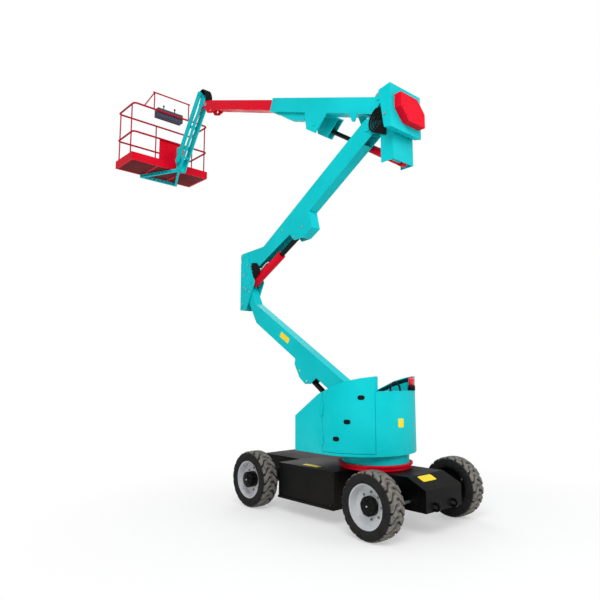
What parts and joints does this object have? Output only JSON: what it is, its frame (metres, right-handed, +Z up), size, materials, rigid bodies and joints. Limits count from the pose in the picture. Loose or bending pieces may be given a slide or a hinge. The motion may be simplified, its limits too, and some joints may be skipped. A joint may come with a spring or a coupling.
{
  "type": "articulating boom lift",
  "caption": "Electric articulating boom lift with a slewing turret, two folding riser arms, a telescopic boom, a jib and a railed work platform",
  "frame": {"origin": "on the floor under the slew axis", "axes": "+X forward towards the platform, +Y left, +Z up"},
  "size_m": [6.8689, 1.81, 7.2737],
  "materials": {
    "body_teal": "glossy paint",
    "ring_red": "glossy paint",
    "chassis_black": "semi-gloss paint",
    "link_black": "semi-gloss paint",
    "rim_grey": "satin paint",
    "tyre_black": "dusty rubber",
    "rod_chrome": "polished",
    "battery_plastic": "matte",
    "ballast_iron": "rough",
    "beacon_lens": "glossy",
    "console_grey": "satin"
  },
  "bodies": {
    "chassis": {"chassis_frame": "chassis_black", "battery_boxes": "chassis_black", "batteries": "battery_plastic", "drive_axle": "chassis_black", "steer_axle": "chassis_black", "slew_ring": "ring_red"},
    "steering": {"steer_rod": "rod_chrome"},
    "drive_wheel_left": {"drive_tyre_left": "tyre_black", "drive_rim_left": "rim_grey"},
    "drive_wheel_right": {"drive_tyre_right": "tyre_black", "drive_rim_right": "rim_grey"},
    "steer_hub_left": {"steer_knuckle_left": "chassis_black"},
    "steer_wheel_left": {"steer_tyre_left": "tyre_black", "steer_rim_left": "rim_grey"},
    "steer_hub_right": {"steer_knuckle_right": "chassis_black"},
    "steer_wheel_right": {"steer_tyre_right": "tyre_black", "steer_rim_right": "rim_grey"},
    "turret": {"turntable": "body_teal", "counterweight": "ballast_iron", "front_covers": "body_teal", "rear_cover": "body_teal", "beacon": "beacon_lens"},
    "side_door_left": {"door_left": "body_teal"},
    "side_door_right": {"door_right": "body_teal"},
    "arm_one": {"lower_arm": "body_teal"},
    "lift_one_barrel": {"lower_barrel": "link_black"},
    "lift_one_rod": {"lower_rod": "rod_chrome"},
    "mid": {"middle_knuckle": "body_teal"},
    "arm_two": {"upper_arm": "body_teal"},
    "lift_two_barrel": {"upper_barrel": "ring_red"},
    "lift_two_rod": {"upper_rod": "rod_chrome"},
    "top": {"top_knuckle": "body_teal", "knuckle_cover": "ring_red"},
    "boom": {"main_boom": "body_teal"},
    "lift_main_barrel": {"main_barrel": "ring_red"},
    "lift_main_rod": {"main_rod": "rod_chrome"},
    "fly": {"fly_section": "ring_red"},
    "tip": {"tip_bracket": "body_teal"},
    "jib_arm": {"jib": "body_teal"},
    "jib_rods": {"jib_link": "body_teal"},
    "lift_jib_barrel": {"jib_barrel": "ring_red"},
    "lift_jib_rod": {"jib_rod": "rod_chrome"},
    "support": {"platform_support": "body_teal"},
    "platform": {"platform_carrier": "body_teal", "platform_floor": "ring_red", "platform_rails": "ring_red", "platform_panel": "ring_red", "console": "console_grey"}
  },
  "joints": [
    {"name": "left_steer", "type": "hinge", "parent": "chassis", "child": "steer_hub_left", "pos_m": [-0.59, 0.56, 0.35], "axis": [0, 0, 1], "range_deg": [-30, 30]},
    {"name": "right_steer", "type": "hinge", "parent": "chassis", "child": "steer_hub_right", "pos_m": [-0.59, -0.56, 0.35], "axis": [0, 0, 1], "range_deg": [-30, 30]},
    {"name": "rod_slide", "type": "slide", "parent": "chassis", "child": "steering", "axis": [0, -1, 0], "range_m": [-0.08054, 0.08054]},
    {"name": "steer_wheel_left_spin", "type": "hinge", "parent": "steer_hub_left", "child": "steer_wheel_left", "pos_m": [-0.59, 0.75, 0.35], "axis": [0, 1, 0], "continuous": true},
    {"name": "drive_wheel_left_spin", "type": "hinge", "parent": "chassis", "child": "drive_wheel_left", "pos_m": [1.41, 0.75, 0.35], "axis": [0, 1, 0], "continuous": true},
    {"name": "steer_wheel_right_spin", "type": "hinge", "parent": "steer_hub_right", "child": "steer_wheel_right", "pos_m": [-0.59, -0.75, 0.35], "axis": [0, 1, 0], "continuous": true},
    {"name": "drive_wheel_right_spin", "type": "hinge", "parent": "chassis", "child": "drive_wheel_right", "pos_m": [1.41, -0.75, 0.35], "axis": [0, 1, 0], "continuous": true},
    {"name": "slew", "type": "hinge", "parent": "chassis", "child": "turret", "pos_m": [0, 0, 0.6], "axis": [0, 0, 1], "range_deg": [-177.5, 177.5]},
    {"name": "door_left_swing", "type": "hinge", "parent": "turret", "child": "side_door_left", "pos_m": [0.2375, 0.667, 0.8], "axis": [0, 0, 1], "range_deg": [-100, 0]},
    {"name": "door_right_swing", "type": "hinge", "parent": "turret", "child": "side_door_right", "pos_m": [0.2375, -0.667, 0.8], "axis": [0, 0, 1], "range_deg": [0, 100]},
    {"name": "riser", "type": "hinge", "parent": "turret", "child": "arm_one", "pos_m": [0.15, 0, 1.321], "axis": [0, -1, 0], "range_deg": [-29, 33]},
    {"name": "lift_one_swing", "type": "hinge", "parent": "turret", "child": "lift_one_barrel", "pos_m": [0.1, 0, 0.9], "axis": [0, -1, 0], "range_deg": [-22.36, 25.45]},
    {"name": "lift_one_stroke", "type": "slide", "parent": "lift_one_barrel", "child": "lift_one_rod", "axis": [0.8175, 0, 0.5759], "range_m": [-0.15174, 0.17265]},
    {"name": "mid_level", "type": "hinge", "parent": "arm_one", "child": "mid", "pos_m": [2.53993, 0, 3.0349], "axis": [0, -1, 0], "range_deg": [-33, 29]},
    {"name": "arm_two_fold", "type": "hinge", "parent": "mid", "child": "arm_two", "pos_m": [2.64493, 0, 3.5629], "axis": [0, 1, 0], "range_deg": [-29, 33]},
    {"name": "lift_two_swing", "type": "hinge", "parent": "mid", "child": "lift_two_barrel", "pos_m": [2.41993, 0, 3.1329], "axis": [0, -1, 0], "range_deg": [-32.52, 28.58]},
    {"name": "lift_two_stroke", "type": "slide", "parent": "lift_two_barrel", "child": "lift_two_rod", "axis": [-0.876, 0, 0.4822], "range_m": [-0.23828, 0.27113]},
    {"name": "top_level", "type": "hinge", "parent": "arm_two", "child": "top", "pos_m": [-0.02713, 0, 4.85171], "axis": [0, 1, 0], "range_deg": [-33, 29]},
    {"name": "boom_lift", "type": "hinge", "parent": "top", "child": "boom", "pos_m": [-0.24713, 0, 5.19271], "axis": [0, -1, 0], "range_deg": [-16, 55]},
    {"name": "lift_main_swing", "type": "hinge", "parent": "top", "child": "lift_main_barrel", "pos_m": [-0.36913, -0.19, 4.36471], "axis": [0, -1, 0], "range_deg": [-9.95, 34.16]},
    {"name": "lift_main_stroke", "type": "slide", "parent": "lift_main_barrel", "child": "lift_main_rod", "axis": [0.8308, 0, 0.5565], "range_m": [-0.13334, 0.4581]},
    {"name": "boom_reach", "type": "slide", "parent": "boom", "child": "fly", "axis": [0.9336, 0, 0.3584], "range_m": [-0.87, 0.6]},
    {"name": "tip_level", "type": "hinge", "parent": "fly", "child": "tip", "pos_m": [3.91764, 0, 6.6768], "axis": [0, -1, 0], "range_deg": [-55, 16]},
    {"name": "jib_lift", "type": "hinge", "parent": "tip", "child": "jib_arm", "pos_m": [4.13264, 0, 6.9518], "axis": [0, -1, 0], "range_deg": [-15, 105]},
    {"name": "jib_rods_turn", "type": "hinge", "parent": "tip", "child": "jib_rods", "pos_m": [4.12264, 0, 6.7568], "axis": [0, -1, 0], "range_deg": [-15, 105]},
    {"name": "lift_jib_swing", "type": "hinge", "parent": "tip", "child": "lift_jib_barrel", "pos_m": [4.18264, 0, 6.7818], "axis": [0, -1, 0], "range_deg": [-16.44, 114.99]},
    {"name": "lift_jib_stroke", "type": "slide", "parent": "lift_jib_barrel", "child": "lift_jib_rod", "axis": [0.7099, 0, -0.7043], "range_m": [-0.03984, 0.27826]},
    {"name": "support_level", "type": "hinge", "parent": "jib_arm", "child": "support", "pos_m": [4.88402, 0, 5.87871], "axis": [0, -1, 0], "range_deg": [-105, 15]},
    {"name": "platform_turn", "type": "hinge", "parent": "support", "child": "platform", "pos_m": [4.99402, 0, 5.76071], "axis": [0, 0, 1], "range_deg": [-90, 90]}
  ],
  "couplings": [
    {"joint": "right_steer", "follows": "left_steer", "ratio": 1},
    {"joint": "rod_slide", "follows": "left_steer", "m_per_rad": 0.15},
    {"joint": "lift_one_swing", "follows": "riser", "ratio": 0.7708},
    {"joint": "lift_one_stroke", "follows": "riser", "m_per_rad": 0.29959},
    {"joint": "mid_level", "follows": "riser", "ratio": -1},
    {"joint": "arm_two_fold", "follows": "riser", "ratio": 1},
    {"joint": "lift_two_swing", "follows": "riser", "ratio": -0.98522},
    {"joint": "lift_two_stroke", "follows": "riser", "m_per_rad": 0.47057},
    {"joint": "top_level", "follows": "riser", "ratio": -1},
    {"joint": "lift_main_swing", "follows": "boom_lift", "ratio": 0.62096},
    {"joint": "lift_main_stroke", "follows": "boom_lift", "m_per_rad": 0.47712},
    {"joint": "tip_level", "follows": "boom_lift", "ratio": -1},
    {"joint": "jib_rods_turn", "follows": "jib_lift", "ratio": 1},
    {"joint": "lift_jib_swing", "follows": "jib_lift", "ratio": 1.095},
    {"joint": "lift_jib_stroke", "follows": "jib_lift", "m_per_rad": 0.15178},
    {"joint": "support_level", "follows": "jib_lift", "ratio": -1}
  ]
}
